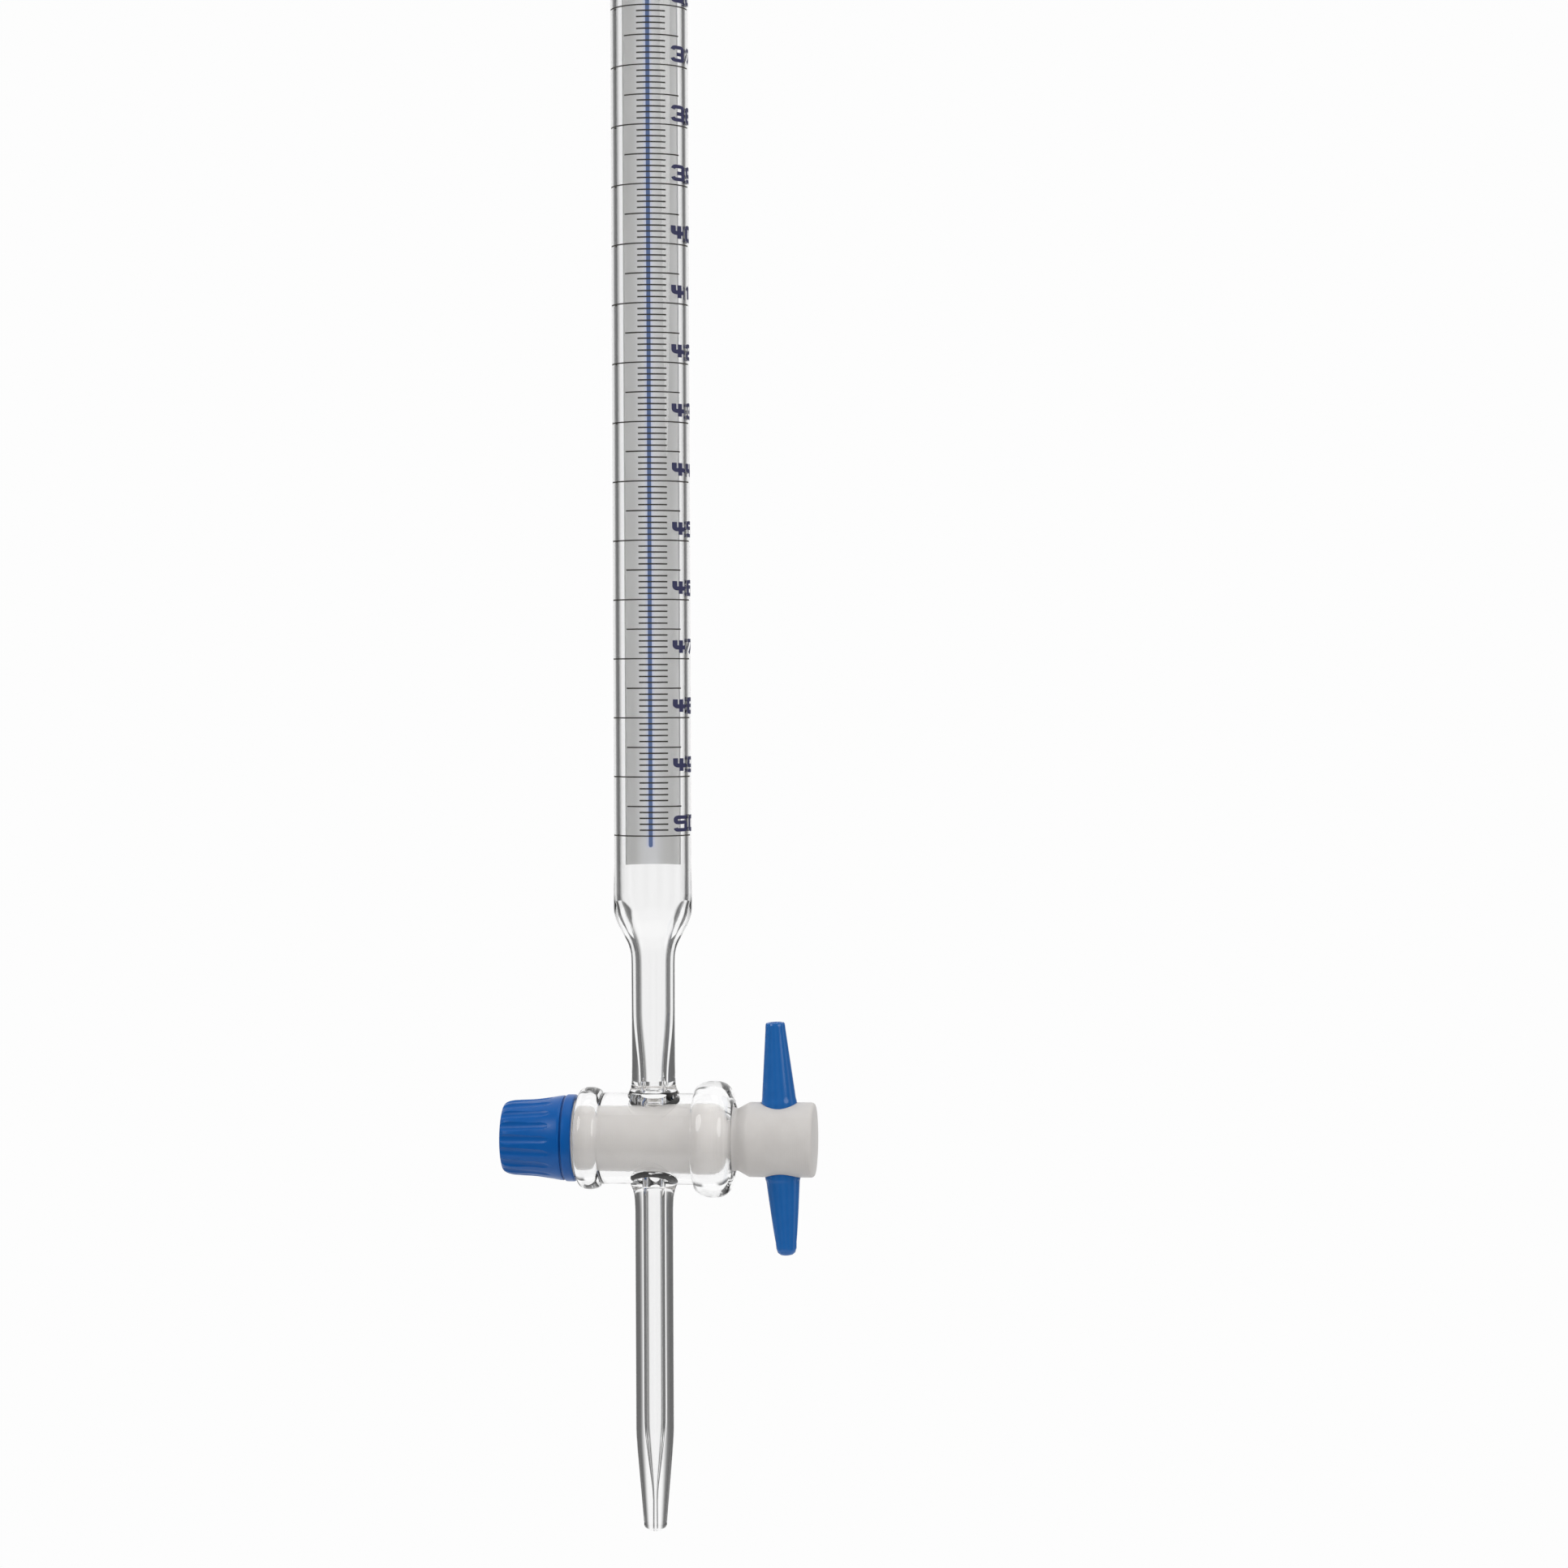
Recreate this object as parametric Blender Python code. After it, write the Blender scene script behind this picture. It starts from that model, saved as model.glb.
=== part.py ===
"""Glass burette, 50 ml in steps of 0.1 ml, with a PTFE stopcock.

The burette stands upright along +Z and its scale faces -Y. The origin lies on the tube's
axis at the 25 ml line, where a stand clamp grips it. The stopcock's axis runs along X:
the lock nut is at -X and the handle at +X. All sizes are in metres.
"""

import math

import bmesh
import bpy
from mathutils import Matrix

# Scale: the bore is chosen so that 10 mm of tube holds 1 ml
SCALE_TOP = 0.250
SCALE_LENGTH = 0.500
SIDES = 60

# Graduated tube
BORE_RADIUS = 0.00564
TUBE_WALL = 0.00096
RIM_ABOVE_SCALE = 0.12935
RIM_BEAD_RADIUS = 0.00075
RIM_OVERHANG = 0.00115
RIM_FLARE_LENGTH = 0.00225
SHOULDER_BELOW_SCALE = 0.0140
SHOULDER_LENGTH = 0.0090
SHOULDER_SWELL = 0.00008
STEM_RADIUS = 0.00372
STEM_BORE_RADIUS_TOP = 0.00230
STEM_BORE_RADIUS_END = 0.00160

# Opal backing strip and blue line in the rear wall
STRIP_FACETS = 19
STRIP_DEPTH = 0.00042
STRIP_ABOVE_SCALE = 0.0360
STRIP_BELOW_SCALE = 0.0066
LINE_WIDTH = 0.00068
LINE_DEPTH = 0.00015
LINE_END_INSET = 0.0029
ENAMEL_GAP = 0.00003

# Stopcock barrel, along X
AXIS_BELOW_SCALE = 0.0521
BARREL_RADIUS = 0.00780
BARREL_SMALL_END = -0.01306
BARREL_LARGE_END = 0.01395
SMALL_BEAD_RADIUS = 0.00875
SMALL_BEAD_LENGTH = 0.00410
LARGE_BEAD_RADIUS = 0.00995
LARGE_BEAD_LENGTH = 0.00650
END_FACE_WALL = 0.00130
SIDE_ARM_REACH = 0.0106
SIDE_ARM_FLARE = 0.00045
SIDE_ARM_ROOT_DEPTH = 0.00100
PORT_RADIUS = 0.00100
GLASS_JOINT_GAP = 0.0003

# Delivery jet
JET_RADIUS = 0.00326
JET_LENGTH = 0.0674
JET_TAPER_LENGTH = 0.0168
JET_TIP_RADIUS = 0.00195
JET_BORE_RADIUS = 0.00095
JET_CAPILLARY_RADIUS = 0.00035
JET_CAPILLARY_LENGTH = 0.0064

# Key: a tapered plug with a cross bore, a round head and a flatted stub for the nut
SEAT_MID_RADIUS = 0.005795
SEAT_TAPER = 0.0306
SEAT_FILM = 0.00006
SEAT_SMALL_INSET = 0.00080
SEAT_LARGE_INSET = 0.00105
NECK_RADIUS = 0.00533
NECK_LENGTH = 0.00035
HEAD_RADIUS = 0.00639
HEAD_CONE_LENGTH = 0.0023
HEAD_LENGTH = 0.01145
HEAD_DOME = 0.00090
STUB_RADIUS = 0.00400
STUB_FLAT = 0.00330
STUB_CHAMFER = 0.00040
STUB_END_INSET = 0.00080
RUNNING_GAP = 0.00005

# Handle: a double taper through the head, seated slightly askew
HANDLE_FROM_NECK = 0.00760
HANDLE_SLANT = 2.7
HANDLE_ROOT_RADIUS = 0.00305
HANDLE_TIP_RADIUS = 0.00158
HANDLE_UPPER_REACH = 0.0201
HANDLE_LOWER_REACH = 0.0198
HANDLE_TIP_ROUND_UPPER = 0.00030
HANDLE_TIP_ROUND_LOWER = 0.00085
HANDLE_RECESS_RADIUS = 0.00095
HANDLE_RECESS_DEPTH = 0.0020
HANDLE_FIT_GAP = 0.00008

# Washer, tension ring and lock nut
SEAT_GAP = 0.0003
WASHER_THICKNESS = 0.0010
WASHER_RADIUS = 0.0065
WASHER_FIT_GAP = 0.00008
RING_CORD_RADIUS = 0.00105
RING_STUB_GAP = 0.0003
NUT_LENGTH = 0.01254
NUT_COLLAR_RADIUS = 0.00745
NUT_COLLAR_LENGTH = 0.00175
NUT_COLLAR_CHAMFER = 0.00035
NUT_GROOVE_WIDTH = 0.00030
NUT_GROOVE_DEPTH = 0.00028
NUT_FLARE_RADIUS = 0.00724
NUT_GRIP_RADIUS = 0.00652
NUT_END_ROUND = 0.00070
NUT_END_CHAMFER = 0.00050
NUT_RECESS_RADIUS = 0.0067
FLUTES = 18
FLUTE_SAMPLES = 4
FLUTE_DEPTH = 0.00026

TUBE_RADIUS = BORE_RADIUS + TUBE_WALL
RIM_OUTER_RADIUS = TUBE_RADIUS + RIM_OVERHANG
STOPCOCK_Z = SCALE_TOP - SCALE_LENGTH - AXIS_BELOW_SCALE
HALF_FACET = math.pi / SIDES


def clear_scene():
    for item in list(bpy.data.objects):
        bpy.data.objects.remove(item, do_unlink=True)


def material(name, colour, roughness, transmission=0.0):
    mat = bpy.data.materials.new(name)
    mat.use_nodes = True
    shader = mat.node_tree.nodes["Principled BSDF"]
    shader.inputs["Base Color"].default_value = (*colour, 1.0)
    shader.inputs["Roughness"].default_value = roughness
    shader.inputs["Metallic"].default_value = 0.0
    shader.inputs["Transmission Weight"].default_value = transmission
    shader.inputs["IOR"].default_value = 1.474
    return mat


def arc(centre, radius, start, end, count):
    """Points of an arc in the profile plane, angles in degrees from the outward axis."""
    points = []
    for step in range(count + 1):
        angle = math.radians(start + (end - start) * step / count)
        across = centre[0] + radius * math.cos(angle)
        along = centre[1] + radius * math.sin(angle)
        points.append((across, along))
    return points


def blend(first, last, count, shape):
    """Points between two profile points whose radius follows shape, from 0 to 1."""
    points = []
    for step in range(count + 1):
        share = step / count
        across = first[0] + (last[0] - first[0]) * shape(share)
        along = first[1] + (last[1] - first[1]) * share
        points.append((across, along))
    return points


def ease(share):
    return 0.5 - 0.5 * math.cos(math.pi * share)


def new_object(name, mesh, mat, sharp=35.0):
    mesh.shade_smooth()
    mesh.set_sharp_from_angle(angle=math.radians(sharp))
    if mat:
        mesh.materials.append(mat)
    item = bpy.data.objects.new(name, mesh)
    bpy.context.scene.collection.objects.link(item)
    return item


def turned(name, profile, mat=None, sides=SIDES, along_x=False, sharp=35.0):
    """Revolve a profile of (radius, height) points round Z, or round X.

    A profile that starts and ends on the axis gives a solid, any other a ring.
    """
    mesh = bpy.data.meshes.new(name)
    bm = bmesh.new()
    turn = Matrix.Rotation(HALF_FACET, 4, "Z")
    verts = [bm.verts.new(turn @ point_at(radius, height)) for radius, height in profile]
    edges = [bm.edges.new(pair) for pair in zip(verts, verts[1:])]
    if profile[0][0] > 0.0:
        edges.append(bm.edges.new((verts[-1], verts[0])))
    bmesh.ops.spin(
        bm,
        geom=verts + edges,
        cent=(0, 0, 0),
        axis=(0, 0, 1),
        angle=2 * math.pi,
        steps=sides,
        use_duplicate=False,
    )
    bmesh.ops.remove_doubles(bm, verts=bm.verts, dist=0.000002)
    if along_x:
        bmesh.ops.rotate(bm, verts=bm.verts, matrix=Matrix.Rotation(math.pi / 2, 3, "Y"))
    bmesh.ops.recalc_face_normals(bm, faces=bm.faces)
    bm.to_mesh(mesh)
    bm.free()
    return new_object(name, mesh, mat, sharp)


def point_at(radius, height):
    return Matrix.Translation((radius, 0, height)).translation


def lofted(name, rings, mat):
    """Join a closed chain of rings of equal count, each a list of points."""
    mesh = bpy.data.meshes.new(name)
    bm = bmesh.new()
    loops = [[bm.verts.new(point) for point in ring] for ring in rings]
    for near, far in zip(loops, loops[1:] + loops[:1]):
        for here in range(len(near)):
            there = (here + 1) % len(near)
            bm.faces.new((near[here], near[there], far[there], far[here]))
    bmesh.ops.recalc_face_normals(bm, faces=bm.faces)
    bm.to_mesh(mesh)
    bm.free()
    return new_object(name, mesh, mat)


def box(name, low, high, mat=None):
    mesh = bpy.data.meshes.new(name)
    bm = bmesh.new()
    bmesh.ops.create_cube(bm, size=1.0)
    size = [b - a for a, b in zip(low, high)]
    middle = [(a + b) / 2 for a, b in zip(low, high)]
    bmesh.ops.scale(bm, vec=size, verts=bm.verts)
    bmesh.ops.translate(bm, vec=middle, verts=bm.verts)
    bm.to_mesh(mesh)
    bm.free()
    return new_object(name, mesh, mat)


def facet_radius(radius, angle):
    """Radius at an angle from +Y of a polygon with a facet facing +Y."""
    step = 2 * HALF_FACET
    off = angle - step * round(angle / step)
    return radius * math.cos(HALF_FACET) / math.cos(off)


def rear_sector(name, inner, outer, low, high, trim, mat=None):
    """Part of a tube wall at the rear, its facets in line with the tube's own.

    Trim is the angle left free at each edge, negative where a cutter runs past it.
    """
    edge = STRIP_FACETS * HALF_FACET
    angles = [edge - trim]
    for step in range(STRIP_FACETS - 1):
        angles.append(edge - 2 * HALF_FACET * (step + 1))
    angles.append(trim - edge)
    mesh = bpy.data.meshes.new(name)
    bm = bmesh.new()
    columns = []
    for angle in angles:
        corners = []
        for radius in (inner, outer):
            reach = facet_radius(radius, angle)
            for height in (low, high):
                place = (reach * math.sin(angle), reach * math.cos(angle), height)
                corners.append(bm.verts.new(place))
        columns.append((corners[0], corners[1], corners[3], corners[2]))
    for near, far in zip(columns, columns[1:]):
        for here in range(4):
            there = (here + 1) % 4
            bm.faces.new((near[here], near[there], far[there], far[here]))
    bm.faces.new(columns[0])
    bm.faces.new(columns[-1])
    bmesh.ops.recalc_face_normals(bm, faces=bm.faces)
    bm.to_mesh(mesh)
    bm.free()
    return new_object(name, mesh, mat)


def shape_with(item, tool, operation):
    """Cut or join with a hidden tool object; the modifier stays live."""
    tool.hide_render = True
    tool.display_type = "WIRE"
    tool.parent = item
    change = item.modifiers.new(tool.name, "BOOLEAN")
    change.operation = operation
    change.object = tool


def group_empty(name, place, parent=None):
    empty = bpy.data.objects.new(name, None)
    empty.empty_display_size = 0.01
    bpy.context.scene.collection.objects.link(empty)
    empty.location = place
    empty.parent = parent
    return empty


def build_tube(glass):
    """Graduated tube with a flared rim, a drawn shoulder and a thick-walled stem."""
    rim_top = SCALE_TOP + RIM_ABOVE_SCALE
    bead = (RIM_OUTER_RADIUS - RIM_BEAD_RADIUS, rim_top - RIM_BEAD_RADIUS)
    rim_foot = rim_top - RIM_FLARE_LENGTH
    shoulder_top = SCALE_TOP - SCALE_LENGTH - SHOULDER_BELOW_SCALE
    shoulder_end = shoulder_top - SHOULDER_LENGTH
    stem_end = STOPCOCK_Z + SIDE_ARM_REACH + GLASS_JOINT_GAP
    swell = TUBE_RADIUS + SHOULDER_SWELL
    profile = arc(bead, RIM_BEAD_RADIUS, 90, -70, 6)
    profile += blend((TUBE_RADIUS + 0.4 * RIM_BEAD_RADIUS, rim_foot + RIM_BEAD_RADIUS),
                     (TUBE_RADIUS, rim_foot), 2, math.sqrt)
    profile.append((TUBE_RADIUS, shoulder_top + 0.6 * SHOULDER_LENGTH))
    profile.append((swell, shoulder_top + 0.2 * SHOULDER_LENGTH))
    profile += blend((swell, shoulder_top), (STEM_RADIUS, shoulder_end), 5, ease)
    profile.append((STEM_RADIUS, stem_end))
    profile.append((STEM_BORE_RADIUS_END, stem_end))
    throat_end = shoulder_end - 0.2 * SHOULDER_LENGTH
    profile += blend((STEM_BORE_RADIUS_TOP, throat_end), (BORE_RADIUS, shoulder_top), 5, ease)
    profile.append((BORE_RADIUS, rim_foot - RIM_BEAD_RADIUS))
    profile += blend((BORE_RADIUS, rim_foot), (bead[0] - RIM_BEAD_RADIUS, bead[1]), 3, ease)
    profile += arc(bead, RIM_BEAD_RADIUS, 150, 110, 2)
    tube = turned("graduated_tube", profile, glass)
    floor = TUBE_RADIUS - STRIP_DEPTH - ENAMEL_GAP
    low = SCALE_TOP - SCALE_LENGTH - STRIP_BELOW_SCALE
    high = SCALE_TOP + STRIP_ABOVE_SCALE
    recess = rear_sector("strip_recess", floor, TUBE_RADIUS + STRIP_DEPTH,
                         low - ENAMEL_GAP, high + ENAMEL_GAP, 0.0)
    shape_with(tube, recess, "DIFFERENCE")
    return tube


def build_strip(opal, blue):
    """White opal strip flush with the rear of the tube, its blue line facing the bore."""
    low = SCALE_TOP - SCALE_LENGTH - STRIP_BELOW_SCALE
    high = SCALE_TOP + STRIP_ABOVE_SCALE
    inner = TUBE_RADIUS - STRIP_DEPTH
    trim = ENAMEL_GAP / TUBE_RADIUS
    strip = rear_sector("backing_strip", inner, TUBE_RADIUS, low, high, trim, opal)
    face = inner * math.cos(HALF_FACET)
    half = LINE_WIDTH / 2
    line_low = low + LINE_END_INSET
    line_high = high - LINE_END_INSET
    channel = box("line_channel",
                  (-half - ENAMEL_GAP, face - STRIP_DEPTH, line_low - ENAMEL_GAP),
                  (half + ENAMEL_GAP, face + LINE_DEPTH + ENAMEL_GAP, line_high + ENAMEL_GAP))
    shape_with(strip, channel, "DIFFERENCE")
    box("blue_line", (-half, face, line_low), (half, face + LINE_DEPTH, line_high), blue)
    return strip


def bead_profile(start, length, base, crest, first_face, last_face, count):
    """A fire-polished ring on the barrel, as a rounded bump from face to face."""
    points = []
    for step in range(count + 1):
        share = step / count
        low = first_face + (last_face - first_face) * share
        bump = (1 - abs(2 * share - 1) ** 2.6) ** 0.5
        radius = low + (crest - low) * bump
        points.append((radius, start + length * share))
    return points


def seat_radius(along):
    return SEAT_MID_RADIUS + SEAT_TAPER * along


def side_arm(name, radius, sign):
    """A short glass arm that grows out of the barrel with a flared foot."""
    root = BARREL_RADIUS - SIDE_ARM_ROOT_DEPTH
    foot = BARREL_RADIUS + 4 * SIDE_ARM_FLARE
    profile = [(0.0, sign * root), (radius + SIDE_ARM_FLARE * 1.6, sign * root)]
    profile += blend((radius + SIDE_ARM_FLARE * 1.6, sign * (BARREL_RADIUS - SIDE_ARM_FLARE)),
                     (radius, sign * foot), 4, lambda share: 1 - (1 - share) ** 2.2)
    profile.append((radius, sign * SIDE_ARM_REACH))
    profile.append((0.0, sign * SIDE_ARM_REACH))
    return turned(name, profile, sides=30)


def build_barrel(glass):
    """Stopcock barrel with a taper-ground bore, a bead at each end and two side arms."""
    small = BARREL_SMALL_END
    large = BARREL_LARGE_END
    bore_small = seat_radius(small) + SEAT_FILM
    bore_large = seat_radius(large) + SEAT_FILM
    face_small = bore_small + END_FACE_WALL
    face_large = bore_large + 0.3 * END_FACE_WALL
    profile = bead_profile(small, SMALL_BEAD_LENGTH, BARREL_RADIUS, SMALL_BEAD_RADIUS,
                           face_small, BARREL_RADIUS, 7)
    profile += bead_profile(large - LARGE_BEAD_LENGTH, LARGE_BEAD_LENGTH, BARREL_RADIUS,
                            LARGE_BEAD_RADIUS, BARREL_RADIUS, face_large, 8)
    profile += [(bore_large, large), (bore_small, small)]
    barrel = turned("stopcock_barrel", profile, glass, along_x=True)
    barrel.location = (0, 0, STOPCOCK_Z)
    shape_with(barrel, side_arm("upper_arm", STEM_RADIUS, 1), "UNION")
    shape_with(barrel, side_arm("lower_arm", JET_RADIUS, -1), "UNION")
    over = SIDE_ARM_REACH + SIDE_ARM_FLARE
    inlet = turned("inlet_port", [(0, 0), (PORT_RADIUS, 0), (PORT_RADIUS, BARREL_RADIUS),
                                  (STEM_BORE_RADIUS_END, SIDE_ARM_REACH),
                                  (STEM_BORE_RADIUS_END, over), (0, over)], sides=24)
    outlet = turned("outlet_port", [(0, 0), (PORT_RADIUS, 0), (PORT_RADIUS, -BARREL_RADIUS),
                                    (JET_BORE_RADIUS, -SIDE_ARM_REACH),
                                    (JET_BORE_RADIUS, -over), (0, -over)], sides=24)
    shape_with(barrel, inlet, "DIFFERENCE")
    shape_with(barrel, outlet, "DIFFERENCE")
    return barrel


def build_jet(glass):
    """Delivery jet: a thick-walled tube drawn to a tip with a fine capillary."""
    top = STOPCOCK_Z - SIDE_ARM_REACH - GLASS_JOINT_GAP
    tip = STOPCOCK_Z - JET_LENGTH
    taper = tip + JET_TAPER_LENGTH
    edge = 0.55 * JET_TIP_RADIUS
    profile = [(JET_BORE_RADIUS, top), (JET_RADIUS, top)]
    profile += blend((JET_RADIUS, taper), (JET_TIP_RADIUS, tip + edge), 5,
                     lambda share: share ** 1.12)
    profile += arc((JET_TIP_RADIUS - edge, tip + edge), edge, -20, -90, 4)
    profile.append((JET_CAPILLARY_RADIUS, tip))
    profile.append((JET_CAPILLARY_RADIUS, tip + JET_CAPILLARY_LENGTH))
    profile.append((JET_BORE_RADIUS, taper + 0.25 * JET_CAPILLARY_LENGTH))
    return turned("delivery_jet", profile, glass, sides=30)


def build_key(ptfe, axis):
    """Tapered key: flatted stub, ground seat with a cross bore, neck and round head."""
    seat_small = BARREL_SMALL_END + SEAT_SMALL_INSET
    seat_large = BARREL_LARGE_END - SEAT_LARGE_INSET
    neck = BARREL_LARGE_END + NECK_LENGTH
    head_end = neck + HEAD_CONE_LENGTH + HEAD_LENGTH
    stub_end = nut_end() + STUB_END_INSET
    profile = [(0.0, stub_end), (STUB_RADIUS - STUB_CHAMFER, stub_end)]
    profile += [(STUB_RADIUS, stub_end + STUB_CHAMFER), (STUB_RADIUS, seat_small)]
    profile += [(seat_radius(seat_small), seat_small), (seat_radius(seat_large), seat_large)]
    profile += [(NECK_RADIUS, neck), (HEAD_RADIUS, neck + HEAD_CONE_LENGTH)]
    profile += blend((HEAD_RADIUS, head_end - HEAD_DOME),
                     (0.93 * HEAD_RADIUS, head_end - 0.3 * HEAD_DOME),
                     2, lambda share: share ** 2)
    profile += [(0.55 * HEAD_RADIUS, head_end - 0.06 * HEAD_DOME), (0.0, head_end)]
    key = turned("stopcock_key", profile, ptfe, along_x=True, sharp=20.0)
    key.parent = axis
    reach = 2 * SEAT_MID_RADIUS
    cross = turned("cross_bore", [(0, -reach), (PORT_RADIUS, -reach), (PORT_RADIUS, reach),
                                  (0, reach)], sides=24)
    shape_with(key, cross, "DIFFERENCE")
    socket_radius = HANDLE_ROOT_RADIUS + HANDLE_FIT_GAP
    socket = turned("handle_socket", [(0, -reach), (socket_radius, -reach),
                                      (socket_radius, reach), (0, reach)], sides=36)
    socket.location = (handle_place(), 0, 0)
    socket.rotation_euler = (0, -math.radians(HANDLE_SLANT), 0)
    shape_with(key, socket, "DIFFERENCE")
    flat = box("stub_flat", (stub_end - reach, -reach, STUB_FLAT), (seat_small, reach, reach))
    shape_with(key, flat, "DIFFERENCE")
    return key


def nut_mouth():
    return BARREL_SMALL_END - SEAT_GAP


def nut_end():
    return nut_mouth() - NUT_LENGTH


def handle_place():
    return BARREL_LARGE_END + NECK_LENGTH + HANDLE_FROM_NECK


def build_handle(plastic, axis):
    """Handle of two tapered arms, the upper one with a blind hole in its tip."""
    upper = HANDLE_UPPER_REACH
    lower = -HANDLE_LOWER_REACH
    round_up = HANDLE_TIP_ROUND_UPPER
    round_low = HANDLE_TIP_ROUND_LOWER
    floor = upper - HANDLE_RECESS_DEPTH
    profile = [(0.0, lower)]
    profile += arc((HANDLE_TIP_RADIUS - round_low, lower + round_low), round_low, -90, 0, 4)
    profile += [(HANDLE_ROOT_RADIUS, -HEAD_RADIUS), (HANDLE_ROOT_RADIUS, HEAD_RADIUS)]
    profile += arc((HANDLE_TIP_RADIUS - round_up, upper - round_up), round_up, 0, 90, 3)
    profile += [(HANDLE_RECESS_RADIUS, upper), (HANDLE_RECESS_RADIUS, floor), (0.0, floor)]
    handle = turned("key_handle", profile, plastic, sides=36)
    handle.parent = axis
    handle.location = (handle_place(), 0, 0)
    handle.rotation_euler = (0, -math.radians(HANDLE_SLANT), 0)
    return handle


def build_washer(ptfe, axis):
    """Flat washer with a D-shaped hole, which the flat on the stub keeps from turning."""
    near = nut_mouth()
    far = near - WASHER_THICKNESS
    hole = STUB_RADIUS + WASHER_FIT_GAP
    washer = turned("washer", [(0, far), (WASHER_RADIUS, far), (WASHER_RADIUS, near), (0, near)],
                    ptfe, along_x=True)
    washer.parent = axis
    over = SEAT_GAP
    bore = turned("washer_hole", [(0, far - over), (hole, far - over), (hole, near + over),
                                  (0, near + over)], along_x=True)
    flat = box("washer_flat", (far - 2 * over, -hole, STUB_FLAT + WASHER_FIT_GAP),
               (near + 2 * over, hole, 2 * hole))
    shape_with(bore, flat, "DIFFERENCE")
    shape_with(washer, bore, "DIFFERENCE")
    return washer


def build_ring(rubber, axis):
    """Rubber tension ring between the washer and the floor of the nut's recess."""
    middle = ring_middle()
    centre = (STUB_RADIUS + RING_STUB_GAP + RING_CORD_RADIUS, middle)
    profile = arc(centre, RING_CORD_RADIUS, 0, 360, 10)[:-1]
    ring = turned("tension_ring", profile, rubber, sides=36, along_x=True)
    ring.parent = axis
    return ring


def ring_middle():
    return nut_mouth() - WASHER_THICKNESS - SEAT_GAP - RING_CORD_RADIUS


def build_nut(plastic, axis):
    """Lock nut: a fluted grip that flares to a grooved collar, recessed for the ring."""
    mouth = nut_mouth()
    end = nut_end()
    collar = mouth - NUT_COLLAR_LENGTH
    groove = collar - NUT_GROOVE_WIDTH
    grip = end + 2.2 * NUT_END_ROUND
    recess = ring_middle() - RING_CORD_RADIUS - SEAT_GAP
    bore = STUB_RADIUS + RUNNING_GAP
    outline = [(NUT_GRIP_RADIUS - NUT_END_ROUND, end, 0.35)]
    outline += [(NUT_GRIP_RADIUS - 0.35 * NUT_END_ROUND, end + 0.3 * NUT_END_ROUND, 0.8)]
    outline += [(NUT_GRIP_RADIUS - 0.06 * NUT_END_ROUND, end + NUT_END_ROUND, 1.0)]
    for step in range(7):
        share = step / 6
        radius = NUT_GRIP_RADIUS + (NUT_FLARE_RADIUS - NUT_GRIP_RADIUS) * ease(share ** 1.3)
        fade = max(0.0, 1 - (share / 0.86) ** 2)
        outline.append((radius, grip + (groove - grip) * share, fade))
    outline += [(NUT_FLARE_RADIUS - NUT_GROOVE_DEPTH, groove, 0.0)]
    outline += [(NUT_FLARE_RADIUS - NUT_GROOVE_DEPTH, collar, 0.0)]
    outline += [(NUT_COLLAR_RADIUS, collar, 0.0)]
    outline += [(NUT_COLLAR_RADIUS, mouth - NUT_COLLAR_CHAMFER, 0.0)]
    outline += [(NUT_COLLAR_RADIUS - NUT_COLLAR_CHAMFER, mouth, 0.0)]
    outline += [(NUT_RECESS_RADIUS, mouth, 0.0), (NUT_RECESS_RADIUS, recess, 0.0)]
    outline += [(bore, recess, 0.0), (bore, end + NUT_END_CHAMFER, 0.0)]
    outline += [(bore + NUT_END_CHAMFER, end, 0.0)]
    rings = []
    count = FLUTES * FLUTE_SAMPLES
    for radius, along, flute in outline:
        ring = []
        for step in range(count):
            angle = 2 * math.pi * step / count
            share = (step % FLUTE_SAMPLES) / FLUTE_SAMPLES
            dip = 1 - (2 * share - 1) ** 2
            reach = radius - FLUTE_DEPTH * flute * dip
            ring.append((along, reach * math.cos(angle), reach * math.sin(angle)))
        rings.append(ring)
    nut = lofted("lock_nut", rings, plastic)
    nut.parent = axis
    return nut


def main():
    clear_scene()
    glass = material("borosilicate_glass", (0.93, 0.96, 0.95), 0.02, transmission=1.0)
    opal = material("opal_glass", (0.86, 0.86, 0.85), 0.25)
    blue = material("blue_enamel", (0.10, 0.16, 0.30), 0.25)
    ptfe = material("white_ptfe", (0.80, 0.80, 0.78), 0.45)
    plastic = material("blue_plastic", (0.012, 0.10, 0.37), 0.22)
    ring_plastic = material("nut_plastic", (0.012, 0.09, 0.34), 0.20)
    rubber = material("black_rubber", (0.02, 0.02, 0.02), 0.60)
    build_tube(glass)
    build_strip(opal, blue)
    build_barrel(glass)
    build_jet(glass)
    key_axis = group_empty("key_axis", (0, 0, STOPCOCK_Z))
    nut_axis = group_empty("nut_axis", (0, 0, 0), key_axis)
    build_key(ptfe, key_axis)
    build_handle(plastic, key_axis)
    build_washer(ptfe, key_axis)
    build_ring(rubber, nut_axis)
    build_nut(ring_plastic, nut_axis)


main()
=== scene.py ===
# %% [markdown]
# # A 50 ml glass burette
#
# This lesson dresses a measured frame of a burette in glass, enamel, PTFE and plastic. A burette
# is a long graduated tube with a stopcock and a drawn jet below it. Its rear wall carries a white
# opal strip with a blue line, against which the liquid's edge is easy to read. Nearly all of it is
# round, so most pieces start as one circle that is pulled along its axis.

# %% The measured frame
import math

import bpy
from mathutils import Matrix, Vector


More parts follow.
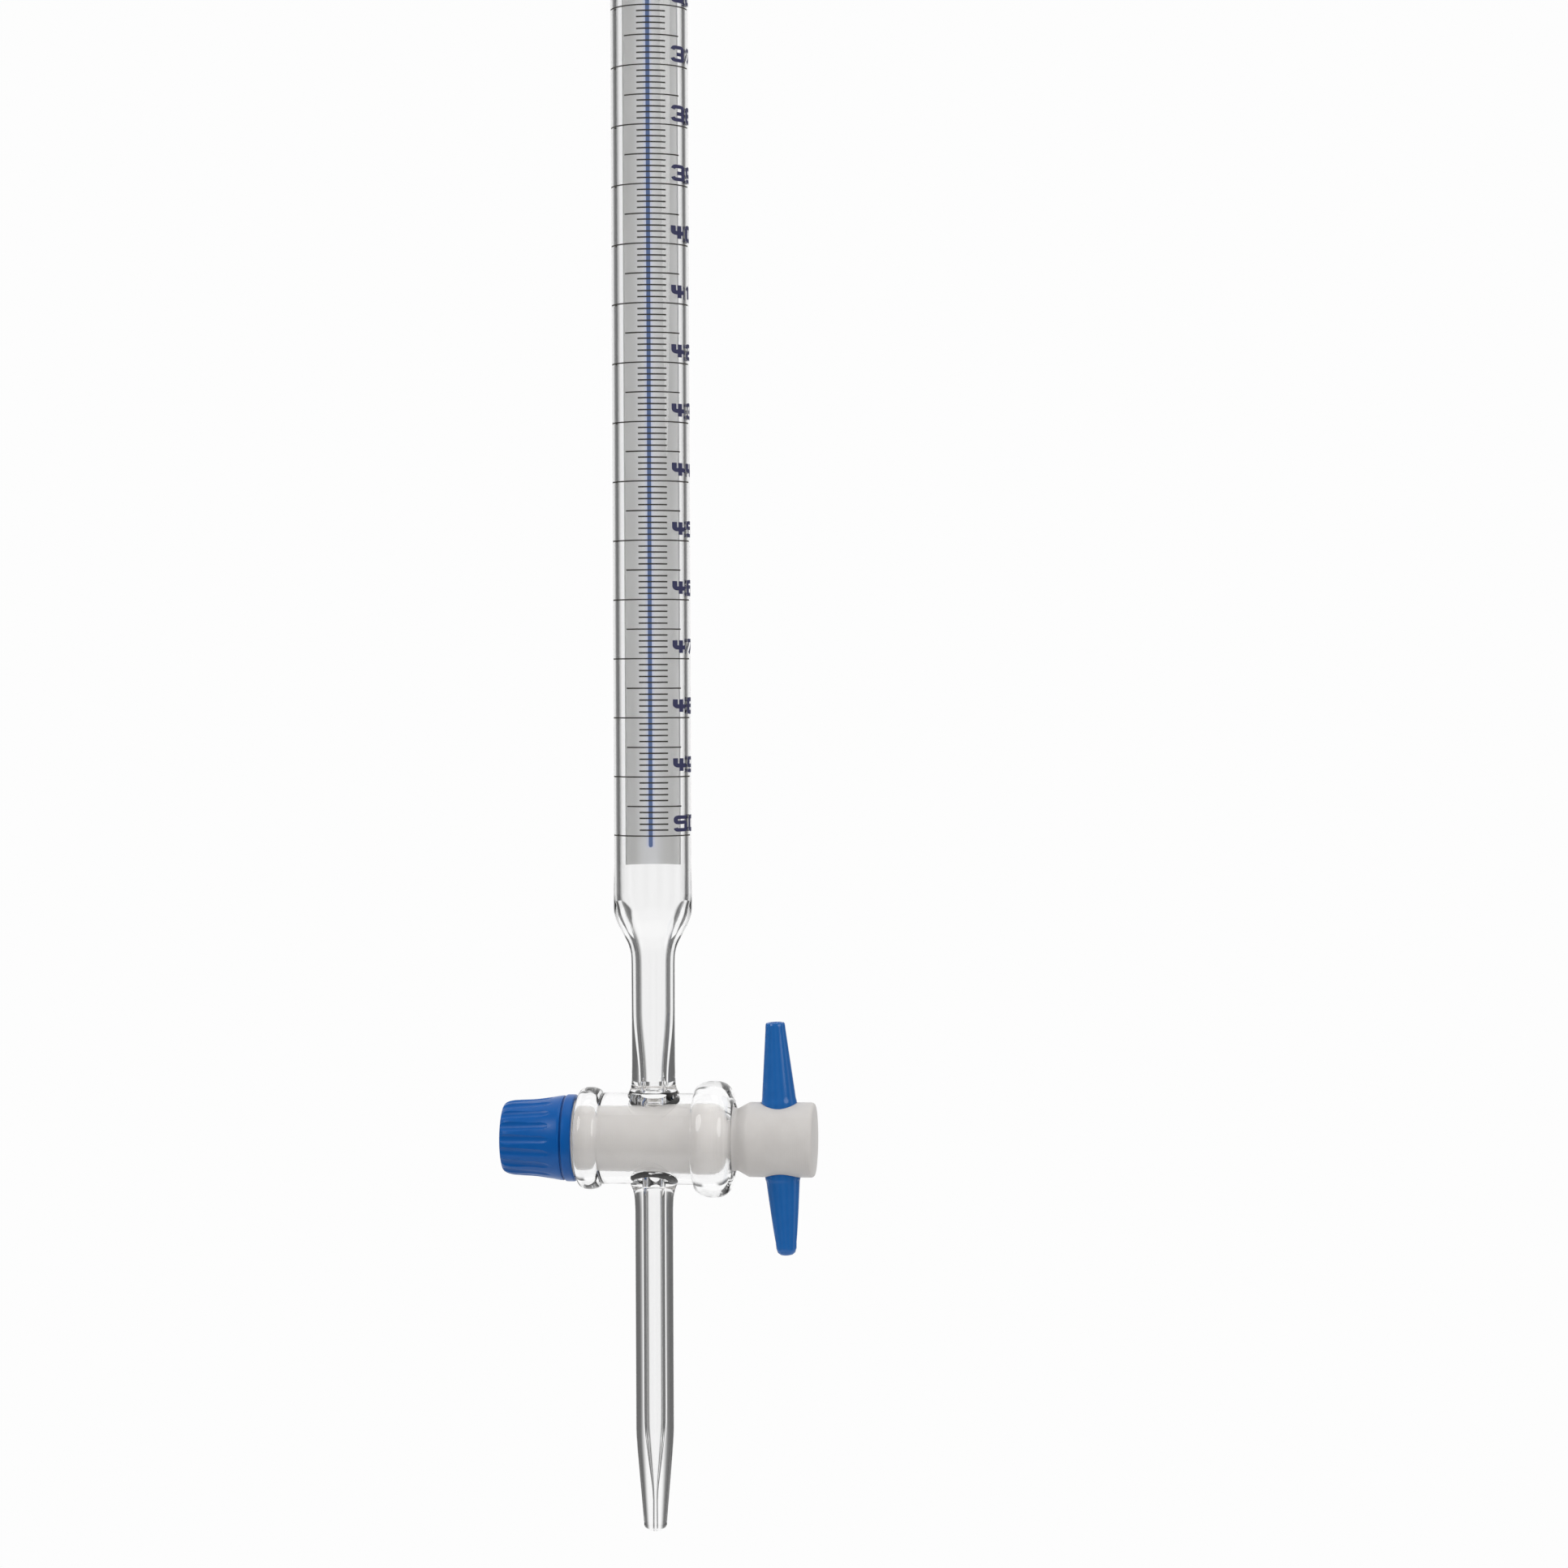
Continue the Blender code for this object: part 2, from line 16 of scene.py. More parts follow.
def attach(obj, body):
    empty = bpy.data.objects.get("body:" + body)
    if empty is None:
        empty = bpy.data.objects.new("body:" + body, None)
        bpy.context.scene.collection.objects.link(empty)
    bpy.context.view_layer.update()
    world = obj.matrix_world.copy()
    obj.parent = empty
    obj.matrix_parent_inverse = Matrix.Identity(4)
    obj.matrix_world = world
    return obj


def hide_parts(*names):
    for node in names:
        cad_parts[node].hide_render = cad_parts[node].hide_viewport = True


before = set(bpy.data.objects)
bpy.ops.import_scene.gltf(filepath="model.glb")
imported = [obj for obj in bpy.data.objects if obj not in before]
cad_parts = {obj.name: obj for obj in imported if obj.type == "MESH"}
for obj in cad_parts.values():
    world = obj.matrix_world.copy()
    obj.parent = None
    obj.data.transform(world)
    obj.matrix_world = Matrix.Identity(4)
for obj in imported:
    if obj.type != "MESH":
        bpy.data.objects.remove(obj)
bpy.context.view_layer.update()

# %% [markdown]
# ## Working sizes
#
# The frame's own sizes are repeated here in millimetres, since glass is ordered and blown to a
# drawing in millimetres. The factor MM turns them into metres. The scale puts 1 ml on every 10 mm,
# and height 0 is the 25 ml line. The stopcock lies along X, its nut at -X and its handle at +X. In
# the photograph the stopcock is turned a little against the view, so the camera, the strip and the
# print all go round the tube's axis by VIEW_TURN.

# %% Working sizes
MM = 0.001
TUBE_R = 6.60 * MM
SCALE_TOP = 250.0 * MM
MILLILITRE = 10.0 * MM
THREAD_PITCH = 1.5
COCK_Z = -302.1
COCK = Vector((0, 0, COCK_Z * MM))
VIEW_TURN = math.radians(6.0)
print("scale from", SCALE_TOP, "stopcock at", COCK)

# %% [markdown]
# ## Picking, pulling and settling
#
# An operator works on everything that is selected, and the loaded frame is selected, so each job
# starts by dropping the selection. A finished piece is settled: its place goes into its mesh and
# its object returns to the origin, so that patterns measured from the origin stay put.

# %% Selection and settling
WELD = 0.0005 * MM


def pick(*pieces):
    """Leave edit mode and select only these pieces, the last one active."""
    if bpy.context.object and bpy.context.object.mode == "EDIT":
        bpy.ops.object.mode_set(mode="OBJECT")
    bpy.ops.object.select_all(action="DESELECT")
    for piece in pieces:
        piece.select_set(True)
        bpy.context.view_layer.objects.active = piece


def settle(piece, name, smooth_below=32):
    """Fix a finished piece in place, merge its doubles and smooth its gentle edges."""
    pick(piece)
    bpy.ops.object.transform_apply(location=True, rotation=True, scale=True)
    bpy.ops.object.mode_set(mode="EDIT")
    bpy.ops.mesh.select_all(action="SELECT")
    bpy.ops.mesh.remove_doubles(threshold=WELD)
    bpy.ops.mesh.normals_make_consistent(inside=False)
    bpy.ops.object.mode_set(mode="OBJECT")
    bpy.ops.object.shade_smooth_by_angle(angle=math.radians(smooth_below))
    piece.name = name
    piece.data.name = name
    size = [round(side / MM, 2) for side in piece.dimensions]
    print(name, len(piece.data.polygons), "faces", size, "mm")
    return piece


def carve(piece, tool, operation="DIFFERENCE"):
    """Cut or join with a second mesh, which is used up."""
    pick(piece)
    change = piece.modifiers.new(operation.title(), "BOOLEAN")
    change.operation = operation
    change.solver = "EXACT"
    change.object = tool
    bpy.ops.object.modifier_apply(modifier=change.name)
    bpy.data.objects.remove(tool, do_unlink=True)
    return piece


# %% [markdown]
# ## Turning round pieces
#
# A lathe shapes a round piece from its profile. The same is done here by hand: one circle is
# extruded from station to station, and scaled about the axis to each new radius. A profile that
# comes back to its start makes a ring with a bore. Any other profile gets a cap at both ends.
# The Spin tool could sweep the profile too, but it leaves a seam and poles to mend.

# %% Turning
def turn(stations, sides=96, ring=False):
    """Pull a circle through (radius, height) stations in millimetres, along Z."""
    pick()
    radius, height = (value * MM for value in stations[0])
    bpy.ops.mesh.primitive_circle_add(vertices=sides, radius=radius, location=(0, 0, height))
    piece = bpy.context.object
    bpy.ops.object.mode_set(mode="EDIT")
    bpy.ops.mesh.select_all(action="SELECT")
    course = list(stations[1:]) + ([stations[0]] if ring else [])
    for wide, high in course:
        rise = high * MM - height
        bpy.ops.mesh.extrude_region_move(TRANSFORM_OT_translate={"value": (0, 0, rise)})
        grow = wide * MM / radius
        bpy.ops.transform.resize(value=(grow, grow, 1), center_override=(0, 0, high * MM))
        radius, height = wide * MM, high * MM
    bpy.ops.mesh.select_all(action="SELECT")
    bpy.ops.mesh.remove_doubles(threshold=WELD)
    if not ring:
        bpy.ops.mesh.fill_holes(sides=0)
    bpy.ops.mesh.normals_make_consistent(inside=False)
    bpy.ops.object.mode_set(mode="OBJECT")
    bpy.ops.object.transform_apply(location=True, rotation=True, scale=True)
    return piece


def lay_down(piece):
    """Turn an upright piece onto the stopcock's axis, its top towards +X."""
    piece.rotation_euler = (0, math.pi / 2, 0)
    piece.location = COCK
    pick(piece)
    bpy.ops.object.transform_apply(location=True, rotation=True, scale=True)
    return piece


def arc(across, along, radius, start, end, count):
    """Stations of an arc, its angles in degrees from the outward direction."""
    angles = [math.radians(start + (end - start) * step / count) for step in range(count + 1)]
    return [(across + radius * math.cos(a), along + radius * math.sin(a)) for a in angles]


def blend(first, last, count, shape=lambda share: 0.5 - 0.5 * math.cos(math.pi * share)):
    """Stations whose radius follows a shape from 0 to 1; the plain shape is an S."""
    shares = [step / count for step in range(count + 1)]
    return [(first[0] + (last[0] - first[0]) * shape(share),
             first[1] + (last[1] - first[1]) * share) for share in shares]


def straight(share):
    """The shape of a plain cone."""
    return share


# %% [markdown]
# ## The graduated tube
#
# The glassblower draws the tube down at its foot to a thick stem, and rolls a bead on its rim. The
# profile runs from the rim's crest down the outside, into the stopcock's wall and back up the bore.
# The bore stays wide down to the shoulder, where the wall thickens, and narrows to the port's size
# in the stem.

# %% Tube with rim and stem
INLET_R = 1.55
RIM_CENTRE = (7.0, 378.6)
rim = arc(*RIM_CENTRE, 0.75, 90, -58, 16)
outside = blend((7.34, 377.9), (6.60, 376.3), 8)
outside += [(6.60, 375.0), (6.60, 280.0), (6.60, 0.0), (6.60, -250.0)]
outside += blend((6.60, -255.5), (6.70, -261.2), 4)
outside += blend((6.70, -262.2), (3.74, -271.0), 20,
                 lambda share: 0.5 - 0.5 * math.cos(math.pi * share ** 1.05))
outside += blend((3.72, -272.2), (3.70, -282.0), 3)
outside += blend((3.70, -288.5), (3.74, -291.8), 3)
outside += [(3.80, -292.6), (3.91, -293.2), (4.10, -293.8), (4.40, -294.3), (4.84, -294.8)]
outside += [(5.02, -295.5), (5.02, -299.2)]
inside = [(INLET_R, -299.2), (INLET_R, -294.6), (1.61, -293.2)]
inside += blend((1.66, -292.6), (2.38, -279.6), 10)
inside += [(2.39, -275.0), (2.41, -272.0), (2.45, -270.7), (2.54, -269.6), (2.71, -268.5)]
inside += [(2.97, -267.5), (3.37, -266.6), (3.83, -265.7), (4.31, -264.85), (4.76, -264.0)]
inside += [(5.13, -263.1), (5.40, -262.2), (5.55, -261.3), (5.62, -260.3)]
inside += [(5.64, -255.0), (5.64, 0.0), (5.64, 280.0), (5.64, 375.5)]
inside += blend((5.64, 376.3), (6.25, 378.4), 8)
inside += arc(*RIM_CENTRE, 0.75, 172, 98, 8)
tube = turn(rim + outside + inside, sides=128, ring=True)
print("tube", len(tube.data.polygons), "faces")

# %% [markdown]
# ## The stopcock's barrel
#
# The barrel is a short thick tube across the flow, with a tapered seat for the key. A bead at each
# end keeps it from chipping: a slim one under the nut, and a wide one that the key's head faces. A
# superellipse gives a bead its flat crown and steep flanks, as molten glass takes them.

# %% Barrel
def bead(start, length, first, last, crest, count=18):
    """Stations over a bead, from a first to a last radius with the crest between them."""
    stations = []
    for step in range(count + 1):
        share = step / count
        base = first + (last - first) * share
        crown = (1 - abs(2 * share - 1) ** 2.6) ** 0.5
        stations.append((base + (crest - base) * crown, start + length * share))
    return stations


def seat(along):
    """Radius of the key's tapered seat at a distance along the axis, in millimetres."""
    return 5.795 + 0.0306 * along


BARREL_R = 7.80
shell = bead(-13.06, 4.10, seat(-13.06) + 1.36, BARREL_R, 8.75)
shell += [(BARREL_R, along) for along in (-8.6, -3.0, 3.0, 7.1)]
shell += bead(7.05, 6.70, BARREL_R, seat(13.75) + 0.75, 9.93, 26)
shell += [(6.72, 13.92)]
shell += [(seat(13.8) + 0.07, 13.95), (seat(13.0) + 0.06, 13.0)]
shell += [(seat(-12.6) + 0.06, -12.6), (seat(-13.0) + 0.16, -13.06)]
barrel = lay_down(turn(shell, sides=128, ring=True))
print("barrel", len(barrel.data.polygons), "faces")

# %% [markdown]
# ## The jet
#
# The jet is thick-walled tubing, drawn to a tip over the last 17 mm. Its bore closes to a fine
# capillary, which sets how fast the burette drips, and the tip is fire polished. Its head reaches
# into the barrel's wall, where the next step melts the two together.

# %% Jet
OUTLET_R = 1.36
wall = [(5.0, -305.0), (5.0, -308.5), (4.55, -309.2), (4.18, -309.7), (3.86, -310.3)]
wall += [(3.60, -311.0), (3.42, -311.8), (3.32, -312.8), (3.26, -314.5), (3.26, -340.0)]
wall += blend((3.26, -351.6), (3.14, -354.3), 5, lambda share: share ** 1.7)
wall += blend((3.05, -355.6), (2.00, -367.9), 8, straight)
wall += arc(0.98, -368.35, 1.0, 12, -74, 9)
wall += [(0.98, -369.47), (0.62, -369.5)]
channel = [(0.38, -369.42), (0.30, -369.1), (0.28, -364.2), (0.34, -362.6)]
channel += blend((0.42, -361.4), (1.28, -352.4), 8, straight)
channel += [(1.34, -350.8), (OUTLET_R, -348.0), (OUTLET_R, -330.0), (OUTLET_R, -305.0)]
jet = turn(wall + channel, sides=96, ring=True)
print("jet", len(jet.data.polygons), "faces")

# %% [markdown]
# ## One body of glass
#
# On the real burette tube, barrel and jet are fused in the flame, and light crosses the joints with
# nothing to see. So the three meshes are united, and the two ports are bored through to the seat.
# The feet of stem and jet now stand into the seat, and a tapered reamer cuts them flush, just as
# the real seat is ground after the flame work. It is 0.01 mm slimmer than the seat's wall, because
# an exact Boolean leaves crumbs where two surfaces coincide.

# %% Fusing the glass
glass_body = carve(tube, barrel, "UNION")
glass_body = carve(glass_body, jet, "UNION")
carve(glass_body, turn([(INLET_R, COCK_Z), (INLET_R, -295.5)], sides=128))
carve(glass_body, turn([(OUTLET_R, COCK_Z), (OUTLET_R, -309.6)], sides=96))
ream = [(seat(-13.6) + 0.05, -13.6), (seat(14.5) + 0.05, 14.5)]
carve(glass_body, lay_down(turn(ream, sides=128)))
settle(glass_body, "burette_glass", 38)
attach(glass_body, "glass_body")
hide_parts("graduated_tube", "stopcock_barrel", "delivery_jet")

# %% [markdown]
# ## Opal strip and blue line
#
# The strip is white opal glass that was fused into the rear of the tube while it was drawn, and the
# blue line was laid on its face. The strip's front comes a hair through the bore's wall, so that no
# two surfaces coincide. Curved thin work starts as a flat grid as wide as its arc is long. It is
# bent to its radius, and then gets its thickness.

# %% Bending flat work round the tube
def bend_round(piece, radius):
    """Bend flat work that faces -Y round the tube's axis, its front at -Y."""
    pick(piece)
    bpy.ops.object.transform_apply(location=True, rotation=True, scale=True)
    across = [corner.co.x for corner in piece.data.vertices]
    curl = piece.modifiers.new("Curl", "SIMPLE_DEFORM")
    curl.deform_method = "BEND"
    curl.deform_axis = "Z"
    curl.angle = (max(across) - min(across)) / radius
    bpy.ops.object.modifier_apply(modifier=curl.name)
    piece.location = (0, -radius, 0)
    bpy.ops.object.transform_apply(location=True, rotation=True, scale=True)
    return piece


def flat_band(width, low, high, columns, rows=1):
    """A flat grid that faces -Y, between two heights."""
    pick()
    middle = (0, 0, (low + high) / 2)
    bpy.ops.mesh.primitive_grid_add(x_subdivisions=columns, y_subdivisions=rows, size=1,
                                    location=middle, rotation=(math.pi / 2, 0, 0))
    band = bpy.context.object
    band.scale = (width, high - low, 1)
    bpy.ops.object.transform_apply(location=True, rotation=True, scale=True)
    return band


def thicken(piece, depth):
    """Give flat or bent work a thickness, from its front inwards."""
    pick(piece)
    skin = piece.modifiers.new("Skin", "SOLIDIFY")
    skin.thickness = depth
    skin.offset = -1
    skin.use_even_offset = True
    bpy.ops.object.modifier_apply(modifier=skin.name)
    return piece


# %% [markdown]
# The strip reaches 115 degrees round the back. It runs from below the 50 ml mark to above the zero
# mark, and its back stays just under the tube's surface.

# %% Opal strip
STRIP_BACK = 6.585 * MM
strip = flat_band(math.radians(115) * STRIP_BACK, -255.3 * MM, 286.0 * MM, 58, 2)
bend_round(strip, STRIP_BACK)
thicken(strip, 0.953 * MM)
strip.rotation_euler = (0, 0, math.pi + VIEW_TURN)
settle(strip, "opal_strip")
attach(strip, "glass_body")
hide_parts("backing_strip")

# %% [markdown]
# The blue line is narrow enough to stay flat. Its corners are beveled round, as its drawn ends are,
# and it lies a hair in front of the strip, a few degrees round from the strip's middle.

# %% Blue line
LINE_TURN = VIEW_TURN + math.radians(5.5)
LINE_BACK = 5.59 * MM
LINE_LOW = -252.4 * MM
line = flat_band(0.72 * MM, LINE_LOW, 283.1 * MM, 1)
pick(line)
bpy.ops.object.mode_set(mode="EDIT")
bpy.ops.mesh.select_all(action="SELECT")
bpy.ops.mesh.bevel(offset=0.31 * MM, segments=6, affect="VERTICES")
bpy.ops.object.mode_set(mode="OBJECT")
thicken(line, 0.06 * MM)
line.location = (-LINE_BACK * math.sin(LINE_TURN), LINE_BACK * math.cos(LINE_TURN), 0)
line.rotation_euler = (0, 0, LINE_TURN)
settle(line, "blue_reading_line")
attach(line, "glass_body")
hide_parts("blue_line")

# %% [markdown]
# ## Graduation marks
#
# A burette's marks are screen printed on the tube's front in fired enamel. Every millilitre has a
# long mark, every half a middle one and every tenth a short one. One millilitre is drawn once,
# flat, and an Array repeats it down the scale. The sheet is then bent round the tube, so that each
# mark's length is the one that was printed.

# %% Marks
PRINT_R = TUBE_R + 0.018 * MM
PRINT_TURN = VIEW_TURN + math.radians(4.4)


def printed_mark(tenths, half_angle, line_width, columns, aside=0.0):
    """One flat mark, some tenths of a millilitre below the top; aside shifts it, in degrees."""
    width = 2 * math.radians(half_angle) * PRINT_R
    high = SCALE_TOP - tenths * MILLILITRE / 10
    mark = flat_band(width, high - line_width / 2, high + line_width / 2, columns)
    mark.location.x += math.radians(aside) * PRINT_R
    return mark


LONG_MARK = (77.0, 0.22 * MM, 28, -5.0)
one_ml = [printed_mark(0, *LONG_MARK), printed_mark(5, 44.0, 0.23 * MM, 16, 1.6)]
one_ml += [printed_mark(tenth, 21.6, 0.25 * MM, 8) for tenth in (1, 2, 3, 4, 6, 7, 8, 9)]
pick(*one_ml)
bpy.ops.object.join()
marks = bpy.context.object
column = marks.modifiers.new("Scale", "ARRAY")
column.count = 50
column.use_relative_offset = False
column.use_constant_offset = True
column.constant_offset_displace = (0, 0, -MILLILITRE)
bpy.ops.object.modifier_apply(modifier=column.name)
last_mark = printed_mark(500, *LONG_MARK)
pick(last_mark, marks)
bpy.ops.object.join()
bend_round(marks, PRINT_R)
thicken(marks, 0.016 * MM)
marks.rotation_euler = (0, 0, PRINT_TURN)
settle(marks, "graduation_marks")
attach(marks, "glass_body")

# %% [markdown]
# ## Numbers
#
# The numbers are drawn wide and square with strokes that are thick upright and thin across, as if
# with a broad nib. A round pen on a narrow digit gives just that once the digit is stretched. So
# each digit is a few lines with rounded corners, given a round bevel, stretched and pressed flat.
# A text object would be quicker, but the built-in face has none of this shape.

# %% Digits
NIB = 0.35
STRETCH = 1.50
WIDE = 1.70
HIGH = 2.85
LEFT, RIGHT, LOW, TOP, MID = NIB, WIDE + NIB, NIB, HIGH - NIB, 1.36
DIGITS = {
    "0": [[(LEFT, MID), (LEFT, TOP), (RIGHT, TOP), (RIGHT, LOW), (LEFT, LOW), (LEFT, MID)]],
    "1": [[(LEFT, 1.80), (0.78, TOP), (0.78, LOW)], [(LEFT + 0.1, 1.98), (0.70, TOP - 0.12)]],
    "2": [[(LEFT, 1.98), (LEFT + 0.1, TOP), (RIGHT, TOP), (RIGHT, 1.60), (LEFT + 0.1, 1.20),
           (LEFT, LOW), (RIGHT + 0.05, LOW)]],
    "3": [[(LEFT, 2.10), (LEFT + 0.16, TOP), (RIGHT - 0.05, TOP), (RIGHT - 0.10, MID),
           (RIGHT, LOW), (LEFT + 0.16, LOW), (LEFT, 0.74)], [(0.95, MID), (RIGHT - 0.2, MID)]],
    "4": [[(LEFT, TOP), (LEFT, 1.28), (RIGHT, 1.28)], [(1.28, TOP), (1.28, LOW)]],
    "5": [[(RIGHT, TOP), (LEFT, TOP), (LEFT, 1.58), (RIGHT, 1.66), (RIGHT, LOW), (LEFT + 0.1, LOW),
           (LEFT, 0.70)]],
    "6": [[(RIGHT, 2.25), (RIGHT - 0.1, TOP), (LEFT, TOP), (LEFT, LOW), (RIGHT, LOW),
           (RIGHT, 1.60), (LEFT, 1.60)]],
    "7": [[(LEFT, TOP), (RIGHT, TOP), (RIGHT, 2.1), (0.68, LOW)]],
    "8": [[(LEFT, MID), (LEFT, TOP), (RIGHT, TOP), (RIGHT, LOW), (LEFT, LOW), (LEFT, MID)],
          [(LEFT, MID + 0.08), (RIGHT, MID + 0.08)]],
    "9": [[(LEFT, 0.58), (LEFT + 0.1, LOW), (RIGHT, LOW), (RIGHT, TOP), (LEFT, TOP),
           (LEFT, 1.22), (RIGHT, 1.22)]],
}


def soften(points, corner=0.38, step=0.30):
    """Round a line's corners and place its points closely enough to bend."""
    places = [Vector(point) for point in points]
    path = [places[0]]
    for before, here, after in zip(places, places[1:], places[2:]):
        reach = min(corner, (here - before).length / 2, (after - here).length / 2)
        start = here + (before - here).normalized() * reach
        end = here + (after - here).normalized() * reach
        for share in (0.0, 0.25, 0.5, 0.75, 1.0):
            path.append(start.lerp(here, share).lerp(here.lerp(end, share), share))
    path.append(places[-1])
    fine = [path[0]]
    for place in path[1:]:
        pieces = max(1, round((place - fine[-1]).length / step))
        begin = fine[-1]
        fine += [begin.lerp(place, part / pieces) for part in range(1, pieces + 1)]
    return fine


def draw_digit(figure):
    """A flat, stretched digit whose lower left corner is at the origin."""
    pen = bpy.data.curves.new("digit", "CURVE")
    pen.dimensions = "3D"
    pen.bevel_depth = NIB * MM
    pen.bevel_resolution = 1
    pen.use_fill_caps = True
    for points in DIGITS[figure]:
        path = soften(points)
        stroke = pen.splines.new("POLY")
        stroke.points.add(len(path) - 1)
        for spot, place in zip(stroke.points, path):
            spot.co = (place.x * MM, 0, place.y * MM, 1)
    digit = bpy.data.objects.new("digit", pen)
    bpy.context.scene.collection.objects.link(digit)
    pick(digit)
    bpy.ops.object.convert(target="MESH")
    digit = bpy.context.object
    digit.scale = (STRETCH, 0.03, 1)
    bpy.ops.object.transform_apply(location=True, rotation=True, scale=True)
    return digit


templates = {figure: draw_digit(figure) for figure in DIGITS}
print({figure: round(piece.dimensions.x / MM, 2) for figure, piece in templates.items()})

# %% [markdown]
# ## Setting the numbers
#
# A number stands just above its millilitre's mark and starts to the right of the short marks, so
# its second digit reaches round the tube's side. Every digit is a copy with its own mesh. Joined
# and bent as one sheet, they keep their true spacing round the glass.

# %% Numbers
NUMBER_START = 3.45 * MM
NUMBER_RISE = 0.62 * MM
DIGIT_GAP = 0.62 * MM
copies = []
for value in range(51):
    pen_x = NUMBER_START
    for figure in str(value):
        stamp = templates[figure].copy()
        stamp.data = templates[figure].data.copy()
        stamp.location = (pen_x, 0, SCALE_TOP - value * MILLILITRE + NUMBER_RISE)
        bpy.context.scene.collection.objects.link(stamp)
        copies.append(stamp)
        pen_x += templates[figure].dimensions.x + DIGIT_GAP
for template in templates.values():
    bpy.data.objects.remove(template, do_unlink=True)
pick(*copies)
bpy.ops.object.join()
numbers = bend_round(bpy.context.object, PRINT_R - 0.004 * MM)
numbers.rotation_euler = (0, 0, PRINT_TURN)
settle(numbers, "scale_numbers", 60)
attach(numbers, "glass_body")

# %% [markdown]
# ## The key
#
# The key is turned from a rod of PTFE, which needs no grease. From left to right it has a threaded
# stub for the nut, the tapered seat with its cross bore, a neck and a round head for the handle.
# PTFE can't be polished, so the tool's fine rings stay and its edges are only broken.

# %% Key
CORE_R = 3.45
stub = [(2.9, -25.10), (3.15, -25.05), (3.42, -24.75), (CORE_R, -24.6), (CORE_R, -15.3)]
stub += [(3.98, -15.0), (4.0, -14.8), (4.0, -12.30)]
stub += [(5.20, -12.26), (5.38, -12.20), (5.43, -12.05)]
taper = [(seat(along), along) for along in (-11.8, -6.0, 0.0, 6.0, 12.2)]
taper += [(seat(12.6), 12.6), (6.15, 12.78), (6.07, 12.92), (5.42, 14.02), (5.34, 14.2)]
head = [(5.33, 14.4), (5.36, 14.62), (5.46, 14.86), (6.22, 16.26), (6.34, 16.5), (6.39, 16.8)]
head += [(6.39, 17.2), (6.39, 21.9), (6.39, 26.7)]
head += arc(5.75, 27.1, 0.64, 0, 74, 7)
head += [(5.2, 27.80), (3.6, 27.95), (1.6, 28.03), (0.4, 28.05)]
key = lay_down(turn(stub + taper + head, sides=128))
print("key", len(key.data.polygons), "faces")

# %% [markdown]
# The thread is a small four-cornered ridge that the Screw modifier winds round the stub, 1.5 mm
# further at every turn. It is sunk a little into the core, so that the union leaves no gap. After
# it the two holes are bored, and a flat is milled along the stub: the washer sits on it and turns
# with the key, so that turning the tap can't loosen the nut.

# %% Thread, ports and flat
HEAD_X = 21.9 * MM
HANDLE_LEAN = math.radians(2.7)
KEY_BORE_R = 1.0
SOCKET_R = 3.13


def box_tool(low, high):
    """A plain block between two corners, in millimetres from the stopcock's centre."""
    pick()
    sides = [(b - a) * MM for a, b in zip(low, high)]
    centre = [(a + b) / 2 * MM for a, b in zip(low, high)]
    bpy.ops.mesh.primitive_cube_add(size=1, location=COCK + Vector(centre))
    block = bpy.context.object
    block.scale = sides
    bpy.ops.object.transform_apply(location=True, rotation=True, scale=True)
    return block


def lean(piece):
    """Tilt a piece that stands at the stopcock's centre, and carry it to the head."""
    pick(piece)
    piece.rotation_euler = (0, -HANDLE_LEAN, 0)
    piece.location = COCK + Vector((HEAD_X, 0, 0))
    bpy.ops.object.transform_apply(location=True, rotation=True, scale=True)
    return piece


pick()
bpy.ops.mesh.primitive_circle_add(vertices=4, radius=0.5 * MM, fill_type="NOTHING",
                                  location=(3.56 * MM, 0, -24.3 * MM),
                                  rotation=(math.pi / 2, 0, 0))
ridge = bpy.context.object
ridge.scale = (0.84, 1.0, 1.0)
bpy.ops.object.transform_apply(location=True, rotation=True, scale=True)
wind = ridge.modifiers.new("Thread", "SCREW")
wind.axis = "Z"
wind.angle = 2 * math.pi
wind.screw_offset = THREAD_PITCH * MM
wind.iterations = 6
wind.steps = wind.render_steps = 40
bpy.ops.object.modifier_apply(modifier=wind.name)
bpy.ops.object.mode_set(mode="EDIT")
bpy.ops.mesh.select_all(action="SELECT")
bpy.ops.mesh.fill_holes(sides=0)
bpy.ops.mesh.normals_make_consistent(inside=False)
bpy.ops.object.mode_set(mode="OBJECT")
carve(key, lay_down(ridge), "UNION")
carve(key, box_tool((-26, -6, 3.3), (-12.3, 6, 6)))
carve(key, turn([(KEY_BORE_R, -311.0), (KEY_BORE_R, -293.0)], sides=48))
carve(key, lean(turn([(SOCKET_R, -9.0), (SOCKET_R, 9.0)], sides=96)))
settle(key, "stopcock_key_ptfe", 30)
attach(key, "key")
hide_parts("stopcock_key")

# %% [markdown]
# ## The handle
#
# The handle is a moulded rod that is pushed through the head. Its arms taper, so that the mould
# lets go of it, and the upper end is hollow where the plastic would otherwise sink.

# %% Handle
rod = [(0.5, -19.8), (1.05, -19.68), (1.5, -19.3), (1.74, -18.6), (1.79, -17.8)]
rod += blend((1.79, -17.6), (2.86, -7.2), 8, lambda share: share ** 0.85)
rod += [(2.93, -6.9), (3.02, -6.6), (3.05, -6.3), (3.05, 0.0), (3.05, 6.3), (3.02, 6.6)]
rod += [(2.95, 6.9), (2.88, 7.3)]
rod += blend((2.86, 7.6), (1.73, 18.9), 8, straight)
rod += [(1.70, 19.4), (1.65, 19.85), (1.49, 20.06), (1.28, 20.1), (1.10, 20.04), (0.99, 19.85)]
rod += [(0.95, 18.4), (0.85, 18.15), (0.5, 18.05)]
handle = lean(turn(rod, sides=96))
settle(handle, "moulded_handle", 40)
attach(handle, "key")
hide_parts("key_handle")

